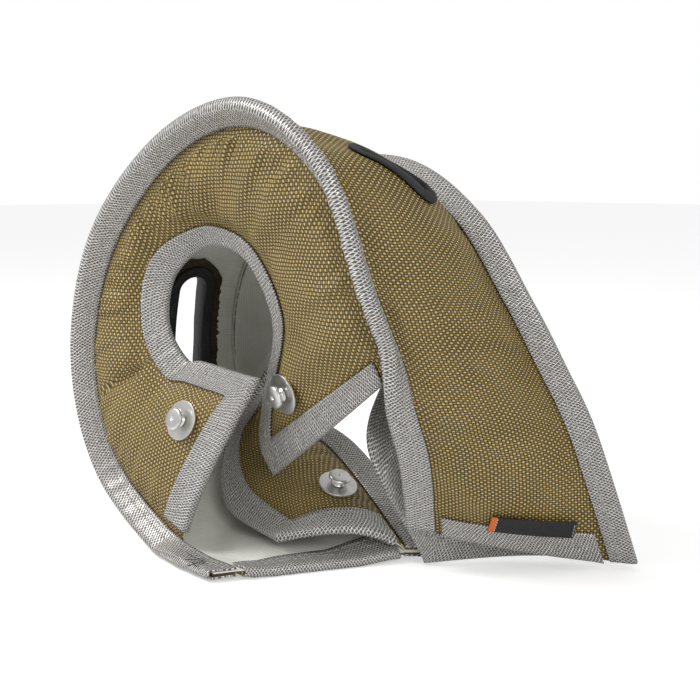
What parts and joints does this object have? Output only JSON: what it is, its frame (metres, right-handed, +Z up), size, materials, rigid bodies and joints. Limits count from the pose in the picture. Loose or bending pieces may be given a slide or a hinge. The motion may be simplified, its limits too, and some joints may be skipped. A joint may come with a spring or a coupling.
{
  "type": "turbo heat blanket",
  "caption": "Padded basalt cloth shell that wraps a turbine housing: a bowed band with a sunken front panel, a rear panel, mesh tape edges, round port holes, a slit and lacing studs.",
  "frame": {"origin": "centre of the bounding box on the floor it rests on", "axes": "+Z up, the front panel faces -Y, X runs across the front panel"},
  "size_m": [0.2262, 0.152, 0.2035],
  "materials": {
    "basalt_cloth": "woven, dull gold",
    "fibre_batt": "felted fibre",
    "silica_liner": "woven, off white",
    "mesh_tape": "knitted wire tape",
    "black_edging": "bound cloth",
    "black_label": "woven tab",
    "slot_patch": "dark woven cloth",
    "stud_steel": "turned"
  },
  "bodies": {
    "root": {"wrap_outer_cloth": "basalt_cloth", "wrap_fibre_batt": "fibre_batt", "wrap_silica_liner": "silica_liner", "front_panel_outer_cloth": "basalt_cloth", "front_panel_fibre_batt": "fibre_batt", "front_panel_silica_liner": "silica_liner", "rear_panel_outer_cloth": "basalt_cloth", "rear_panel_fibre_batt": "fibre_batt", "rear_panel_silica_liner": "silica_liner", "front_seam_tape": "mesh_tape", "rear_seam_tape": "mesh_tape", "front_panel_edge_tape": "mesh_tape", "rear_panel_edge_tape": "mesh_tape", "foot_end_tape": "mesh_tape", "floor_end_tape": "mesh_tape", "side_slot_edging": "black_edging", "top_slot_edging": "black_edging", "label_tab": "black_label", "side_slot_patch": "slot_patch", "stud_front_left": "stud_steel", "stud_front_left_washer": "stud_steel", "stud_front_left_backing": "stud_steel", "stud_front_right": "stud_steel", "stud_front_right_washer": "stud_steel", "stud_front_right_backing": "stud_steel", "stud_rear_left": "stud_steel", "stud_rear_left_washer": "stud_steel", "stud_rear_left_backing": "stud_steel", "stud_rear_right": "stud_steel", "stud_rear_right_washer": "stud_steel", "stud_rear_right_backing": "stud_steel"}
  },
  "joints": []
}
